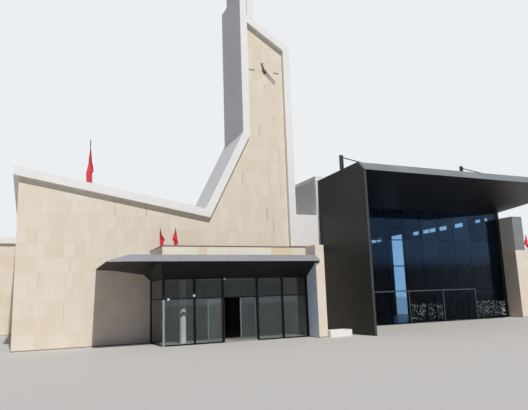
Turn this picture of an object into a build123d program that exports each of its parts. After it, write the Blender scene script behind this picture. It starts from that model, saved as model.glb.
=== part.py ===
from build123d import *
import math
import os

# A railway station building at its real size, in millimetres: a stone front block with a
# clock tower, a glazed entrance under a folded canopy, and a glazed hall behind a metal portal.
# X runs right along the front, Y runs back into the building, Z is up from the ground.
# Sizes are set from the left stone corner and the stone front face, and the finished model
# is moved so that the origin is the middle of its footprint.

# Walls and the white band that edges the front
WALL = 300
BAND = 460
BAND_OUT = 250
FLOOR = 60
BACK = 25000

# Left roof, which falls towards the tower
ROOF_OVER_LEFT = 280
ROOF_TOP_LEFT = 9080
ROOF_FALL = 0.18
ROOF_THICK = 450
LOBBY_SLAB = 300
SLAB_SEAT = 300

# Rear wing, seen past the left corner
WING_LEFT = -1700
WING_FRONT = 17500
WING_TOP = 7540
WING_FASCIA = 480
WING_OVER = 200

# Tower, and the band that climbs its left side
RAMP_FOOT = 9985
RAMP_RUN = 2175
RAMP_SLOPE = 1.974
TOWER_LEFT = RAMP_FOOT + RAMP_RUN
TOWER_WIDE = 3370
TOWER_RIGHT = TOWER_LEFT + TOWER_WIDE
TOWER_BACK = 3050
SHAFT_TOP = 21550
FIN_TOP = 24000
FIN_BACK = 2080
TOP_SLOPE = 0.61
TOP_RIGHT_Z = 18140

# Clock on the tower
CLOCK_LEFT = 40
CLOCK_X = TOWER_LEFT + TOWER_WIDE / 2 - CLOCK_LEFT
CLOCK_Z = 16330
CLOCK_OFF = 130
# The upright and the level bars: distance from the middle, width, height
UPRIGHT_BAR = [745, 90, 380]
LEVEL_BAR = [840, 380, 35]
BAR_OUT = 50
HAND_GAP = 12
HAND_THICK = 25
HUB_R = 95
# Each hand: length, width at the hub, tail, half width of the tip
HOUR_HAND = [560, 100, 160, 24]
MINUTE_HAND = [1000, 80, 220, 20]
SHAFT_R = 40
SHAFT_CLEAR = 0.05
HOUR_TURN = 341
MINUTE_TURN = 135

# Entrance
PIER_INSET = 920
PIER_LEFT = TOWER_RIGHT - PIER_INSET
ENTRY_BAYS = [1610, 1500, 1910, 1460, 1530]
ENTRY_LEFT = PIER_LEFT - sum(ENTRY_BAYS)
ENTRY_POSTS = [ENTRY_LEFT + sum(ENTRY_BAYS[:n]) for n in range(1, len(ENTRY_BAYS))]
ENTRY_FRONT = -2880
ENTRY_HEAD = 3240
ENTRY_TRANSOM = 2210
PARAPET_TOP = 4860
PIER_WIDE = 490
PIER_RIGHT = PIER_LEFT + PIER_WIDE
PIER_FRONT = -3950
POST = 100
POST_DEEP = 120
RAIL = 60
GLASS = 24
COLUMN_IN = 1220
COLUMN_BACK = 820
COLUMN_R = 160
# Round lamps on the frame: distance from its left end, height
LAMPS = [(270, ENTRY_TRANSOM + 10), (1565, ENTRY_TRANSOM + 160), (3180, ENTRY_HEAD - 80)]
LAMP_R = 60
LAMP_OUT = 60

# Sliding door leaves
LEAF_FRAME = 60
LEAF_THICK = 44
LEAF_CLEAR = 8
LEAF_SLIDE = 850
TRACK = 40
HANGER = 90
HANG_GAP = 0.3

# Entrance canopy
CANOPY_FRONT = -4050
CANOPY_TOP = 4310
CANOPY_EDGE = 3990
CANOPY_LEAN = 80
CANOPY_WING = 2800
CANOPY_LEFT = ENTRY_LEFT - CANOPY_WING
CANOPY_RISE = 980
CANOPY_SHOULDER = CANOPY_LEFT + CANOPY_RISE
CANOPY_FOLD = 350
CANOPY_LIP = 230
LIP_DROP = 130
# How far the soffit lies below the front edge at the wall: at the tip, shoulder and fold
SOFFIT_DROPS = [130, 200, 420]
TIP_DROP = 20
TIP_THICK = 45

# Link wall and hall
LINK_WIDE = 1630
LINK_TOP = 7130
LINK_FOOT = 5180
HALL_LEFT = TOWER_RIGHT + LINK_WIDE
HALL_WIDE = 18440
HALL_RIGHT = HALL_LEFT + HALL_WIDE
HALL_SIDE = 220
HALL_GLAZING = 2400
HALL_ROOF = 9345
HALL_ROOF_THICK = 445
HALL_SOFFIT = 1095
HALL_HEAD = HALL_ROOF - HALL_SOFFIT
HALL_KERB = 295
HALL_PARAPET = HALL_ROOF + HALL_KERB
HALL_END_BAY = 140
HALL_GRID_RIGHT = HALL_RIGHT - HALL_END_BAY
HALL_FIRST_BAY = 400
HALL_BAYS = 11
HALL_BAY = (HALL_GRID_RIGHT - HALL_LEFT - WALL - HALL_FIRST_BAY) / HALL_BAYS
END_POST = 350
END_POST_OUT = 40
HALL_RAILS = [4090, 6000]
DOOR_HEAD = 2270
MULLION = 60
MULLION_DEEP = 160
HALL_LEAF_SLIDE = 720
PASSAGE = [5000, 13000]
PASSAGE_HEAD = 3200

# Windows in the hall's right wall: a tall one down to the ground, and a row under the roof,
# each by its start and length from the front
TALL_WINDOW = [14400, 1900]
HIGH_WINDOWS = [(3350, 450), (4100, 700), (6080, 1120), (8050, 1100), (9500, 1900),
                (11850, 1000), (sum(TALL_WINDOW) + 1550, 2000)]
HIGH_DROP = 1200
HIGH_TOP = HALL_ROOF - HIGH_DROP
HIGH_TALL = 470

# Windows in the back wall
BACK_WINDOWS = 4
BACK_WINDOW = [1800, 2100]
BACK_SILL = 900
BACK_FIRST = -900
BACK_STEP = 3000

# Portal
PORTAL_FRONT = -5265
PORTAL_SKIN = 140
PORTAL_RISE = 105
PORTAL_TOP = HALL_ROOF + PORTAL_RISE
PORTAL_FASCIA = 540
PORTAL_EDGE = PORTAL_TOP - PORTAL_FASCIA
PORTAL_LEAN = 560
PORTAL_SHORT = 400
PORTAL_RIGHT = HALL_RIGHT - PORTAL_SHORT
# Masts of two tubes with a head, and the stay of each down to the roof's front edge
MAST_EDGE = 145
MAST_STEP = 9395
MAST_TALL = 880
MAST_TOP = PORTAL_TOP + MAST_TALL
MAST_Y = -2900
MAST_R = 62
MAST_APART = 150
MAST_HEAD = 90
STAY_R = 30
STAY_RUN = 1650
STAY_SIDE = 1000
STAY_DROP = 130

# Right block
RIGHT_WIDE = 2000
RIGHT_END = HALL_RIGHT + RIGHT_WIDE
RIGHT_FRONT = 1100
RIGHT_DEEP = 11000
RIGHT_BACK = RIGHT_FRONT + RIGHT_DEEP
RIGHT_TOP = 5180
LANTERN_WIDE = 1090
LANTERN_RIGHT = HALL_RIGHT + LANTERN_WIDE
LANTERN_BACK = 6000
LANTERN_TOP = 7860
LANTERN_WALL = 200

# Planter and flags
PLANTER_LEFT = PIER_RIGHT
PLANTER_CLEAR = 730
PLANTER_RIGHT = HALL_LEFT - PLANTER_CLEAR
PLANTER_FRONT = -4250
PLANTER_DEEP = 700
PLANTER_TOP = 350
PLANTER_WALL = 60
POLE_R = 22
POLE_GAP = 0.3
POLE_TALL = [2600, 970, 890, 1270]
# Where the poles stand: on the left roof, the entrance parapet's side and front, the right block
ROOF_POLE = [3447, 600]
SIDE_POLE_BACK = 1130
FRONT_POLE_IN = 684
END_POLE_IN = 500
POLES = [
    (ROOF_POLE[0], ROOF_POLE[1], None),
    (ENTRY_LEFT + WALL / 2, ENTRY_FRONT + SIDE_POLE_BACK, PARAPET_TOP),
    (ENTRY_LEFT + FRONT_POLE_IN, ENTRY_FRONT + WALL / 2, PARAPET_TOP),
    (RIGHT_END - END_POLE_IN, RIGHT_FRONT + WALL / 2, RIGHT_TOP),
]
# Each furled flag: how far below the pole's top it is tied, its height, its reach to the left
# and to the right, and how far below the tie it is widest
FLAGS = [(550, 1900, 200, 200, 1250), (110, 800, 40, 240, 450), (110, 740, 170, 140, 450),
         (150, 900, 330, 250, 600)]
FLAG_TIE = 60
FLAG_THICK = 110
FLAG_FOOT = 0.55

PARTS = {}


def block(x0, x1, y0, y1, z0, z1):
    return Pos((x0 + x1) / 2, (y0 + y1) / 2, (z0 + z1) / 2) * Box(x1 - x0, y1 - y0, z1 - z0)


def front_prism(outline, y0, y1):
    """An outline in X and Z, carried back from y0 to y1."""
    face = make_face(Polyline(*[(x, y0, z) for x, z in outline], close=True))
    return extrude(face, amount=y1 - y0, dir=(0, 1, 0))


def side_prism(outline, x0, x1):
    """An outline in Y and Z, carried right from x0 to x1."""
    face = make_face(Polyline(*[(x0, y, z) for y, z in outline], close=True))
    return extrude(face, amount=x1 - x0, dir=(1, 0, 0))


def rod(start, end, radius):
    """A round bar from one point to another."""
    axis = Vector(*end) - Vector(*start)
    plane = Plane(origin=start, z_dir=axis)
    return plane * Cylinder(radius, axis.length, align=(Align.CENTER, Align.CENTER, Align.MIN))


def skin(sections):
    """A solid through outlines of the same number of points, with flat triangles between."""
    faces = [make_face(Polyline(*sections[0], close=True)),
             make_face(Polyline(*sections[-1], close=True))]
    for a, b in zip(sections, sections[1:]):
        for n in range(len(a)):
            m = (n + 1) % len(a)
            for corners in ((a[n], a[m], b[m]), (a[n], b[m], b[n])):
                faces.append(make_face(Polyline(*corners, close=True)))
    return Solid(Shell(ShapeList([face.faces()[0] for face in faces])))


def keep(node, *solids):
    """Name a sub-part. Solids in one sub-part don't touch each other."""
    bodies = [body for solid in solids for body in solid.solids()]
    PARTS[node] = bodies[0] if len(bodies) == 1 else Compound(children=bodies)


def roof_top(x):
    return ROOF_TOP_LEFT - ROOF_FALL * (x + ROOF_OVER_LEFT)


def roof_under(x):
    return roof_top(x) - ROOF_THICK


def ramp_under(x):
    return roof_under(RAMP_FOOT) + RAMP_SLOPE * (x - RAMP_FOOT)


def ramp_top(x):
    return ramp_under(x + BAND / math.sin(math.atan(RAMP_SLOPE)))


def valley():
    """Where the falling roof's top meets the ramp's upper face."""
    x = (ROOF_TOP_LEFT - ROOF_FALL * ROOF_OVER_LEFT - ramp_top(0)) / (RAMP_SLOPE + ROOF_FALL)
    return x, roof_top(x)


def tower_top(x):
    return TOP_RIGHT_Z + TOP_SLOPE * (TOWER_RIGHT - x)


def tower_top_under(x):
    return tower_top(x) - BAND / math.cos(math.atan(TOP_SLOPE))


def stone_front():
    door_l = ENTRY_LEFT + POST
    inner_l = TOWER_LEFT + BAND
    inner_r = TOWER_RIGHT - BAND
    keep("front_wall_left", front_prism(
        [(0, 0), (door_l, 0), (door_l, roof_under(door_l)), (0, roof_under(0))], 0, WALL))
    keep("front_wall_upper", front_prism(
        [(door_l, ENTRY_HEAD), (inner_r, ENTRY_HEAD), (inner_r, tower_top_under(inner_r)),
         (inner_l, tower_top_under(inner_l)), (inner_l, ramp_under(inner_l)),
         (RAMP_FOOT, roof_under(RAMP_FOOT)), (door_l, roof_under(door_l))], 0, WALL))
    keep("front_wall_right", block(PIER_LEFT, HALL_LEFT, 0, WALL, 0, ENTRY_HEAD)
         + block(inner_r, HALL_LEFT, 0, WALL, ENTRY_HEAD, LINK_FOOT))
    keep("link_white_wall", block(TOWER_RIGHT, HALL_LEFT, -BAND_OUT, WALL, LINK_FOOT, LINK_TOP))


def roofs():
    vx, vz = valley()
    low = roof_under(RAMP_FOOT)
    inner_l = TOWER_LEFT + BAND
    front = front_prism([(-ROOF_OVER_LEFT, ROOF_TOP_LEFT), (vx, vz), (RAMP_FOOT, low),
                         (-ROOF_OVER_LEFT, ROOF_TOP_LEFT - ROOF_THICK)], -BAND_OUT, TOWER_BACK)
    rear = front_prism([(-ROOF_OVER_LEFT, ROOF_TOP_LEFT), (vx, vz), (HALL_LEFT, vz),
                        (HALL_LEFT, low), (RAMP_FOOT, low),
                        (-ROOF_OVER_LEFT, ROOF_TOP_LEFT - ROOF_THICK)], TOWER_BACK, WING_FRONT)
    lobby = block(TOWER_LEFT, HALL_LEFT, WALL, TOWER_BACK + SLAB_SEAT, low - LOBBY_SLAB, low)
    keep("left_roof", front + rear + lobby)
    keep("wing_roof", block(WING_LEFT - WING_OVER, HALL_LEFT, WING_FRONT, BACK,
                            WING_TOP - WING_FASCIA, WING_TOP)
         + block(WING_LEFT - WING_OVER, -ROOF_OVER_LEFT, WING_FRONT - WING_OVER, WING_FRONT,
                 WING_TOP - WING_FASCIA, WING_TOP))
    ramp = front_prism([(vx, vz), (TOWER_LEFT, ramp_top(TOWER_LEFT)),
                        (TOWER_LEFT, ramp_under(TOWER_LEFT)), (RAMP_FOOT, low)],
                       -BAND_OUT, TOWER_BACK)
    web = front_prism([(RAMP_FOOT, low), (TOWER_LEFT, low), (TOWER_LEFT, ramp_under(TOWER_LEFT))],
                      TOWER_BACK - WALL, TOWER_BACK)
    keep("ramp", ramp + web)


def tower():
    inner_l = TOWER_LEFT + BAND
    inner_r = TOWER_RIGHT - BAND
    fin_r = inner_l + BAND
    low = roof_under(RAMP_FOOT)
    left = front_prism([(TOWER_LEFT, ramp_under(TOWER_LEFT)), (inner_l, ramp_under(inner_l)),
                        (inner_l, SHAFT_TOP), (TOWER_LEFT, SHAFT_TOP)], -BAND_OUT, TOWER_BACK)
    left += front_prism([(TOWER_LEFT, low), (inner_l, low), (inner_l, ramp_under(inner_l)),
                         (TOWER_LEFT, ramp_under(TOWER_LEFT))], WALL, TOWER_BACK)
    left += block(TOWER_LEFT, inner_l, -BAND_OUT, FIN_BACK, SHAFT_TOP, FIN_TOP)
    keep("tower_left_fin", left)
    keep("tower_inner_fin", front_prism(
        [(inner_l, tower_top(inner_l)), (fin_r, tower_top(fin_r)), (fin_r, FIN_TOP),
         (inner_l, FIN_TOP)], -BAND_OUT, FIN_BACK))
    right = front_prism([(inner_r, low), (TOWER_RIGHT, low), (TOWER_RIGHT, TOP_RIGHT_Z),
                         (inner_r, tower_top(inner_r))], -BAND_OUT, TOWER_BACK)
    right -= block(inner_r, TOWER_RIGHT, 0, WALL, low, LINK_TOP)
    right += block(inner_r, TOWER_RIGHT, -BAND_OUT, 0, LINK_FOOT, low)
    keep("tower_right_wall", right)
    keep("tower_back_wall", front_prism(
        [(inner_l, low), (inner_r, low), (inner_r, tower_top_under(inner_r)),
         (inner_l, tower_top_under(inner_l))], TOWER_BACK - WALL, TOWER_BACK))
    keep("tower_top", front_prism(
        [(inner_l, tower_top(inner_l)), (inner_r, tower_top(inner_r)),
         (inner_r, tower_top_under(inner_r)), (inner_l, tower_top_under(inner_l))],
        -BAND_OUT, TOWER_BACK))


def hand(sizes, y_front, degrees):
    """A tapered clock hand turned clockwise from twelve, with its front face at y_front."""
    length, wide, tail, tip = sizes
    blade = make_face(Polyline((-wide / 2, -tail), (wide / 2, -tail), (tip, length),
                               (-tip, length), close=True))
    body = extrude(blade + Circle(HUB_R) - Circle(SHAFT_R + SHAFT_CLEAR), HAND_THICK)
    return Pos(CLOCK_X, y_front + HAND_THICK, CLOCK_Z) * Rot(0, degrees, 0) * Rot(90, 0, 0) * body


def clock():
    bars = [rod((CLOCK_X, 0, CLOCK_Z), (CLOCK_X, -CLOCK_OFF, CLOCK_Z), SHAFT_R)]
    for n in range(4):
        away, wide, tall = LEVEL_BAR if n % 2 else UPRIGHT_BAR
        x = CLOCK_X + away * math.sin(math.radians(90 * n))
        z = CLOCK_Z + away * math.cos(math.radians(90 * n))
        bars.append(block(x - wide / 2, x + wide / 2, -BAR_OUT, 0, z - tall / 2, z + tall / 2))
    keep("clock_face", *bars)
    minute_front = HAND_GAP - CLOCK_OFF
    hour_front = minute_front + HAND_THICK + HAND_GAP
    keep("clock_hour_hand", hand(HOUR_HAND, hour_front, HOUR_TURN))
    keep("clock_minute_hand", hand(MINUTE_HAND, minute_front, MINUTE_TURN))


def entry_grid():
    return [ENTRY_LEFT + POST / 2] + ENTRY_POSTS + [PIER_LEFT - POST / 2]


def entrance_frame():
    y0 = ENTRY_FRONT
    y1 = ENTRY_FRONT + POST_DEEP
    grid = entry_grid()
    x_in = ENTRY_LEFT + POST
    left = block(x_in, grid[2] + POST / 2, y0, y1, 0, FLOOR)
    right = block(grid[3] - POST / 2, PIER_LEFT, y0, y1, 0, FLOOR)
    for x in grid[1:3]:
        left += block(x - POST / 2, x + POST / 2, y0, y1, 0, ENTRY_TRANSOM)
    for x in grid[3:]:
        right += block(x - POST / 2, x + POST / 2, y0, y1, 0, ENTRY_TRANSOM)
    side = block(ENTRY_LEFT, x_in, y1, 0, 0, FLOOR)
    side += block(ENTRY_LEFT, x_in, -POST_DEEP, 0, 0, ENTRY_TRANSOM)
    side += block(ENTRY_LEFT, x_in, y1, 0, ENTRY_TRANSOM, ENTRY_HEAD)
    side -= block(ENTRY_LEFT, x_in, y1, -POST_DEEP, ENTRY_TRANSOM + RAIL, ENTRY_HEAD - RAIL)
    keep("entrance_lower_frame", left, right, side)
    upper = block(ENTRY_LEFT, PIER_LEFT, y0, y1, ENTRY_TRANSOM, ENTRY_TRANSOM + RAIL)
    upper += block(ENTRY_LEFT, PIER_LEFT, y0, y1, ENTRY_HEAD - RAIL, ENTRY_HEAD)
    for x in grid:
        upper += block(x - POST / 2, x + POST / 2, y0, y1, ENTRY_TRANSOM, ENTRY_HEAD)
    door = grid[2:4]
    upper += block(door[0] - LEAF_SLIDE - POST, door[1] + LEAF_SLIDE + POST,
                   y1, y1 + LEAF_THICK + 2 * LEAF_CLEAR, ENTRY_TRANSOM, ENTRY_TRANSOM + TRACK)
    keep("entrance_upper_frame", upper)
    keep("entrance_corner_post", block(ENTRY_LEFT, x_in, y0, y1, 0, ENTRY_TRANSOM))


def entrance_glass():
    grid = entry_grid()
    y = ENTRY_FRONT + (POST_DEEP - GLASS) / 2
    panes = []
    for n in range(len(grid) - 1):
        x0 = grid[n] + POST / 2
        x1 = grid[n + 1] - POST / 2
        panes.append(block(x0, x1, y, y + GLASS, ENTRY_TRANSOM + RAIL, ENTRY_HEAD - RAIL))
        if n != 2:
            panes.append(block(x0, x1, y, y + GLASS, FLOOR, ENTRY_TRANSOM))
    x = ENTRY_LEFT + (POST - GLASS) / 2
    y0 = ENTRY_FRONT + POST_DEEP
    panes.append(block(x, x + GLASS, y0, -POST_DEEP, ENTRY_TRANSOM + RAIL, ENTRY_HEAD - RAIL))
    panes.append(block(x, x + GLASS, y0, -POST_DEEP, FLOOR, ENTRY_TRANSOM))
    keep("entrance_glass", *panes)


def door_leaf(node, x0, x1, y, head):
    """A sliding leaf: an aluminium frame with two hangers that run under its track, and a pane."""
    z0 = FLOOR + LEAF_CLEAR
    z1 = head - LEAF_CLEAR
    in0 = x0 + LEAF_FRAME
    in1 = x1 - LEAF_FRAME
    frame = block(x0, x1, y, y + LEAF_THICK, z0, z1)
    frame -= block(in0, in1, y, y + LEAF_THICK, z0 + LEAF_FRAME, z1 - LEAF_FRAME)
    for x in (in0, in1):
        frame += block(x - HANGER / 2, x + HANGER / 2, y, y + LEAF_THICK, z1, head - HANG_GAP)
    mid = y + (LEAF_THICK - GLASS / 2) / 2
    keep(node + "_frame", frame)
    keep(node + "_glass", block(in0, in1, mid, mid + GLASS / 2, z0 + LEAF_FRAME, z1 - LEAF_FRAME))


def entrance_doors():
    x0 = ENTRY_POSTS[1] + POST / 2
    x1 = ENTRY_POSTS[2] - POST / 2
    mid = (x0 + x1) / 2
    half = LEAF_CLEAR / 2
    y = ENTRY_FRONT + POST_DEEP + LEAF_CLEAR
    door_leaf("entrance_left_leaf", x0 - LEAF_SLIDE, mid - half - LEAF_SLIDE, y, ENTRY_TRANSOM)
    door_leaf("entrance_right_leaf", mid + half, x1, y, ENTRY_TRANSOM)


def canopy_section(x, drop, low, high):
    """One fold line of the canopy: its front edge, its soffit up to the wall, and its top."""
    y0 = CANOPY_FRONT
    z = CANOPY_EDGE - low
    mid = z - (drop - low) * (ENTRY_FRONT - y0) / -y0
    top_y = y0 + CANOPY_LEAN if high else y0 + TIP_THICK
    top_z = CANOPY_TOP if high else z + TIP_THICK
    wall = CANOPY_EDGE - drop
    wall_top = CANOPY_TOP if high else wall + TIP_THICK
    return [(x, y0, z), (x, ENTRY_FRONT, mid), (x, 0, wall), (x, 0, wall_top), (x, top_y, top_z)]


def entrance_canopy():
    y0 = CANOPY_FRONT
    top = CANOPY_TOP
    lean = y0 + CANOPY_LEAN
    edge = CANOPY_EDGE
    tip, shoulder, fold = SOFFIT_DROPS
    head = [(y0, edge), (ENTRY_FRONT, ENTRY_HEAD), (0, ENTRY_HEAD), (0, top), (lean, top)]
    wing = skin([canopy_section(CANOPY_LEFT, tip, TIP_DROP, False),
                 canopy_section(CANOPY_SHOULDER, shoulder, 0, True),
                 canopy_section(ENTRY_LEFT - CANOPY_FOLD, fold, 0, True),
                 [(ENTRY_LEFT, y, z) for y, z in head]])
    main = side_prism([head[0], head[1], (ENTRY_FRONT, top), head[4]], ENTRY_LEFT, PIER_LEFT)
    low = edge - LIP_DROP
    lip = side_prism([(y0, low), (PIER_FRONT, low), (PIER_FRONT, top), (lean, top), (y0, edge)],
                     PIER_LEFT, PIER_LEFT + CANOPY_LIP)
    lip &= front_prism([(PIER_LEFT, low), (PIER_LEFT + CANOPY_LIP, edge), (PIER_LEFT, top)],
                       y0, PIER_FRONT)
    keep("entrance_canopy", wing + main + lip)


def entrance_masonry():
    y0 = ENTRY_FRONT
    parapet = block(ENTRY_LEFT, PIER_LEFT, y0, y0 + WALL, ENTRY_HEAD, PARAPET_TOP)
    parapet += block(ENTRY_LEFT, ENTRY_LEFT + WALL, y0, 0, ENTRY_HEAD, PARAPET_TOP)
    keep("entrance_parapet", parapet)
    keep("entrance_pier", block(PIER_LEFT, PIER_RIGHT, PIER_FRONT, 0, 0, PARAPET_TOP))
    keep("entrance_roof", block(ENTRY_LEFT + WALL, PIER_LEFT, y0 + WALL, 0,
                                ENTRY_HEAD, ENTRY_HEAD + WALL))
    x = ENTRY_LEFT + COLUMN_IN
    y = y0 + COLUMN_BACK
    keep("entrance_column", rod((x, y, FLOOR), (x, y, ENTRY_HEAD), COLUMN_R))
    keep("entrance_lamps", *[rod((ENTRY_LEFT + x, y0, z), (ENTRY_LEFT + x, y0 - LAMP_OUT, z), LAMP_R)
                             for x, z in LAMPS])


def rear_walls():
    top = WING_TOP - WING_FASCIA
    keep("left_side_wall", front_prism([(0, 0), (WALL, 0), (WALL, roof_under(WALL)),
                                        (0, roof_under(0))], WALL, WING_FRONT))
    end = (ROOF_TOP_LEFT - WING_TOP) / ROOF_FALL - ROOF_OVER_LEFT
    keep("wing_walls", block(WING_LEFT, WALL, WING_FRONT, WING_FRONT + WALL, 0, top)
         + block(WING_LEFT, WING_LEFT + WALL, WING_FRONT + WALL, BACK - WALL, 0, top),
         front_prism([(0, WING_TOP), (end, WING_TOP), (0, roof_top(0))],
                     WING_FRONT, WING_FRONT + WALL))
    back = block(WING_LEFT, HALL_LEFT, BACK - WALL, BACK, 0, top)
    panes = []
    for n in range(BACK_WINDOWS):
        x0 = BACK_FIRST + n * BACK_STEP
        x1 = x0 + BACK_WINDOW[0]
        z1 = BACK_SILL + BACK_WINDOW[1]
        back -= block(x0, x1, BACK - WALL, BACK, BACK_SILL, z1)
        panes.append(block(x0, x1, BACK - WALL / 2, BACK - WALL / 2 + GLASS, BACK_SILL, z1))
    keep("back_wall", back)
    return panes


def hall_grid():
    return [HALL_GRID_RIGHT - n * HALL_BAY for n in range(1, HALL_BAYS + 1)]


def door_units():
    """The two door units: the outer mullions of each, two bays apart."""
    grid = hall_grid()
    return [(grid[5], grid[3]), (grid[3], grid[1])]


def hall_front():
    """A curtain wall: sheets of glass on the outside of a frame of mullions and rails."""
    left = HALL_LEFT + WALL
    right = HALL_RIGHT - HALL_SIDE
    y = HALL_GLAZING
    f0 = y + GLASS
    f1 = f0 + MULLION_DEEP
    half = MULLION / 2
    upper = block(left, right, f0, f1, DOOR_HEAD, DOOR_HEAD + MULLION)
    upper += block(left, right, f0, f1, HALL_HEAD - MULLION, HALL_HEAD)
    for z in HALL_RAILS:
        upper += block(left, right, f0, f1, z - half, z + half)
    centres = [(a + b) / 2 for a, b in door_units()]
    posts = []
    for x in hall_grid():
        upper += block(x - half, x + half, f0, f1, DOOR_HEAD, HALL_HEAD)
        if not any(abs(x - c) < half for c in centres):
            posts.append(block(x - half, x + half, f0, f1, 0, DOOR_HEAD))
    posts.append(block(HALL_RIGHT - END_POST, HALL_RIGHT, y - END_POST_OUT, y, 0, HALL_ROOF))
    keep("hall_front_upper_frame", upper)
    keep("hall_front_lower_posts", *posts)
    edges = [left]
    for a, b in door_units():
        quarter = (b - a) / 4
        edges += [a + quarter, b - quarter]
    edges.append(right)
    glass = block(left, right, y, f0, DOOR_HEAD, HALL_HEAD)
    for n in range(0, len(edges), 2):
        glass += block(edges[n], edges[n + 1], y, f0, 0, DOOR_HEAD)
    keep("hall_front_glass", glass)


def hall_doors():
    y = HALL_GLAZING + GLASS + LEAF_CLEAR
    for n, (a, b) in enumerate(door_units(), start=1):
        mid = (a + b) / 2
        quarter = (b - a) / 4
        half = LEAF_CLEAR / 2
        lap = LEAF_FRAME / 2
        door_leaf(f"hall_door_{n}_left", a + quarter - lap, mid - half, y, DOOR_HEAD)
        door_leaf(f"hall_door_{n}_right", mid + half, b - quarter + lap, y, DOOR_HEAD)


def hall_shell():
    left = block(HALL_LEFT, HALL_LEFT + WALL, -BAND_OUT, BACK, 0, HALL_PARAPET)
    left -= block(HALL_LEFT, HALL_LEFT + WALL, PASSAGE[0], PASSAGE[1], 0, PASSAGE_HEAD)
    keep("hall_left_wall", left)
    side = HALL_RIGHT - HALL_SIDE
    right = block(side, HALL_RIGHT, HALL_GLAZING, BACK, 0, HALL_ROOF)
    panes = rear_walls()
    x = side + HALL_SIDE / 2
    for y0, long in HIGH_WINDOWS:
        hole = (y0, y0 + long, HIGH_TOP - HIGH_TALL, HIGH_TOP)
        right -= block(side, HALL_RIGHT, *hole)
        panes.append(block(x, x + GLASS, *hole))
    hole = (TALL_WINDOW[0], sum(TALL_WINDOW), 0, HIGH_TOP)
    right -= block(side, HALL_RIGHT, *hole)
    panes.append(block(x, x + GLASS, *hole))
    keep("hall_right_wall", right)
    keep("window_glass", *panes)
    under = HALL_ROOF - HALL_ROOF_THICK
    keep("hall_back_wall", block(HALL_LEFT + WALL, side, BACK - WALL, BACK, 0, under))
    y_roof = HALL_GLAZING + WALL
    keep("hall_roof", block(HALL_LEFT + WALL, side, y_roof, BACK, under, HALL_ROOF))
    parapet = block(HALL_LEFT + WALL, PORTAL_RIGHT, -BAND_OUT, -BAND_OUT + WALL,
                    HALL_ROOF, HALL_PARAPET)
    rear = block(HALL_LEFT + WALL, HALL_RIGHT, BACK - WALL, BACK, HALL_ROOF, HALL_PARAPET)
    rear += block(side, HALL_RIGHT, HALL_GLAZING, BACK - WALL, HALL_ROOF, HALL_PARAPET)
    keep("hall_parapet", parapet, rear)
    floor = block(WALL, HALL_LEFT, WALL, WING_FRONT + WALL, 0, FLOOR)
    floor += block(WING_LEFT + WALL, HALL_LEFT, WING_FRONT + WALL, BACK - WALL, 0, FLOOR)
    floor += block(ENTRY_LEFT + POST, PIER_LEFT, ENTRY_FRONT + POST_DEEP, WALL, 0, FLOOR)
    floor += block(ENTRY_POSTS[1] + POST / 2, ENTRY_POSTS[2] - POST / 2,
                   ENTRY_FRONT, ENTRY_FRONT + POST_DEEP, 0, FLOOR)
    floor += block(HALL_LEFT, HALL_LEFT + WALL, PASSAGE[0], PASSAGE[1], 0, FLOOR)
    floor += block(HALL_LEFT + WALL, side, HALL_GLAZING + GLASS + MULLION_DEEP,
                   BACK - WALL, 0, FLOOR)
    keep("ground_floor", floor)


def mast(x, side):
    """Two tubes, a head plate on them and a stay that runs forward and to one side."""
    body = block(x - MAST_APART / 2, x + MAST_APART / 2, MAST_Y - MAST_R, MAST_Y + MAST_R,
                 MAST_TOP - MAST_HEAD, MAST_TOP)
    for tube in (x - MAST_APART / 2, x + MAST_APART / 2):
        body += rod((tube, MAST_Y, HALL_ROOF), (tube, MAST_Y, MAST_TOP), MAST_R)
    start = (x + side * MAST_APART / 2, MAST_Y, MAST_TOP - STAY_DROP)
    foot = (start[0] + side * STAY_SIDE, MAST_Y - STAY_RUN, HALL_ROOF)
    return body + rod(start, foot, STAY_R)


def portal():
    roof_y = HALL_GLAZING + WALL
    lean = PORTAL_FRONT + PORTAL_LEAN
    keep("portal_side_wall", side_prism(
        [(PORTAL_FRONT, 0), (PORTAL_FRONT, PORTAL_EDGE), (lean, PORTAL_TOP),
         (-BAND_OUT, HALL_ROOF), (-BAND_OUT, 0)], HALL_LEFT, HALL_LEFT + PORTAL_SKIN))
    canopy = side_prism(
        [(PORTAL_FRONT, PORTAL_EDGE), (lean, PORTAL_TOP), (-BAND_OUT, HALL_ROOF),
         (roof_y, HALL_ROOF), (roof_y, HALL_HEAD), (HALL_GLAZING, HALL_HEAD)],
        HALL_LEFT + PORTAL_SKIN, PORTAL_RIGHT)
    canopy -= block(HALL_LEFT, HALL_LEFT + WALL, -BAND_OUT, roof_y, 0, HALL_ROOF + WALL)
    keep("portal_canopy", canopy)
    first = HALL_LEFT + MAST_EDGE
    last = PORTAL_RIGHT - MAST_EDGE
    masts = [mast(first, 1), mast(first + MAST_STEP, 1), mast(last, -1)]
    keep("portal_masts", *[body - canopy - PARTS["portal_side_wall"] for body in masts])


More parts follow.
